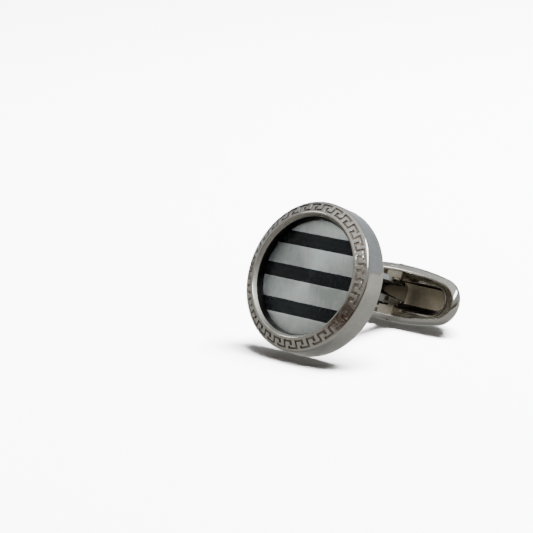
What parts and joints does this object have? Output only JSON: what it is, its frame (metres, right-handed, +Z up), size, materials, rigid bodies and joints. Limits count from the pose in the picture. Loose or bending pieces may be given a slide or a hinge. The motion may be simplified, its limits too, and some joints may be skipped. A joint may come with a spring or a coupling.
{
  "type": "cufflink",
  "caption": "Round metal cufflink with a key-pattern bezel, a black-striped brushed face and a boat-shaped toggle that swivels on a square post.",
  "frame": {"origin": "middle of the bounding box's bottom, on the surface that the cufflink lies on", "axes": "+Z up; -Y the way the face looks, level with the surface; +X to the right seen from the front, along the toggle"},
  "size_m": [0.019, 0.024, 0.0174],
  "materials": {
    "polished_metal": "polished silver-coloured plating",
    "brushed_metal": "brushed satin",
    "black_inlay": "gloss black enamel",
    "pin_metal": "polished pin"
  },
  "bodies": {
    "head_body": {"head": "polished_metal", "face_plate": "brushed_metal", "stripe_top": "black_inlay", "stripe_middle": "black_inlay", "stripe_bottom": "black_inlay"},
    "toggle_body": {"toggle": "polished_metal", "hinge_pin": "pin_metal"}
  },
  "joints": [
    {"name": "toggle_swivel", "type": "hinge", "parent": "head_body", "child": "toggle_body", "pos_m": [-0.0003, 0.00824, 0.0038], "axis": [0, 0.434, 0.9009], "range_deg": [0, 90]}
  ]
}
